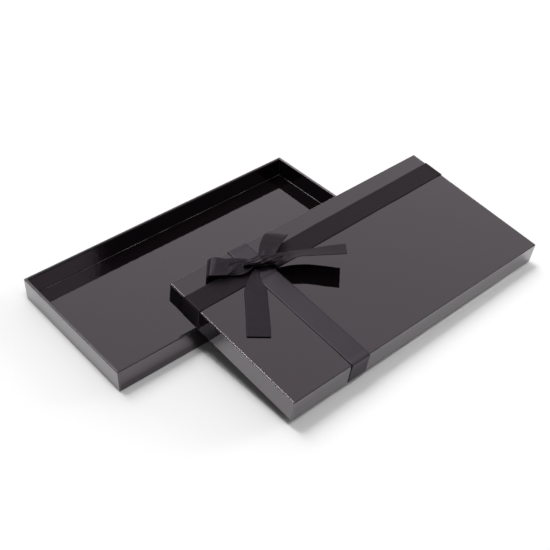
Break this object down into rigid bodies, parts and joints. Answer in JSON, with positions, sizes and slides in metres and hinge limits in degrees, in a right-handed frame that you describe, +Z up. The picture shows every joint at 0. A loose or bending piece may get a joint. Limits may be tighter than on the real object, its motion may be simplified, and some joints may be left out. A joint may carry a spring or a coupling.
{
  "type": "two-piece gift box",
  "caption": "Shallow rigid gift box in gloss black paper: an open tray and a lift-off lid with a satin ribbon and a tied bow, the lid leaning on the tray's corner.",
  "frame": {"origin": "centre of the tray's underside, on the table", "axes": "+X along the tray's long side, +Y across it towards the side that the lid leaves clear, +Z up"},
  "size_m": [0.2864, 0.1987, 0.0435],
  "materials": {
    "greyboard": "raw greyboard, pressed from recycled fibre",
    "gummed_tape": "brown gummed paper tape",
    "gloss_black_paper": "black printed paper under a gloss film",
    "gloss_black_liner": "black card under a gloss film, with a pale cut edge",
    "satin_ribbon": "black double-faced polyester satin"
  },
  "bodies": {
    "tray": {"tray_board": "greyboard", "tray_corner_stays": "gummed_tape", "tray_wrap": "gloss_black_paper", "tray_liner": "gloss_black_liner"},
    "lid": {"lid_board": "greyboard", "lid_corner_stays": "gummed_tape", "lid_wrap": "gloss_black_paper", "lid_liner": "gloss_black_liner", "ribbon_long_band": "satin_ribbon", "ribbon_cross_band": "satin_ribbon", "bow_loop_left": "satin_ribbon", "bow_loop_right": "satin_ribbon", "bow_tail_front": "satin_ribbon", "bow_tail_right": "satin_ribbon", "bow_knot": "satin_ribbon"}
  },
  "joints": [
    {"name": "lid_lift", "type": "slide", "parent": "tray", "child": "lid", "axis": [0, 0, 1], "range_m": [0, 0.12]}
  ]
}
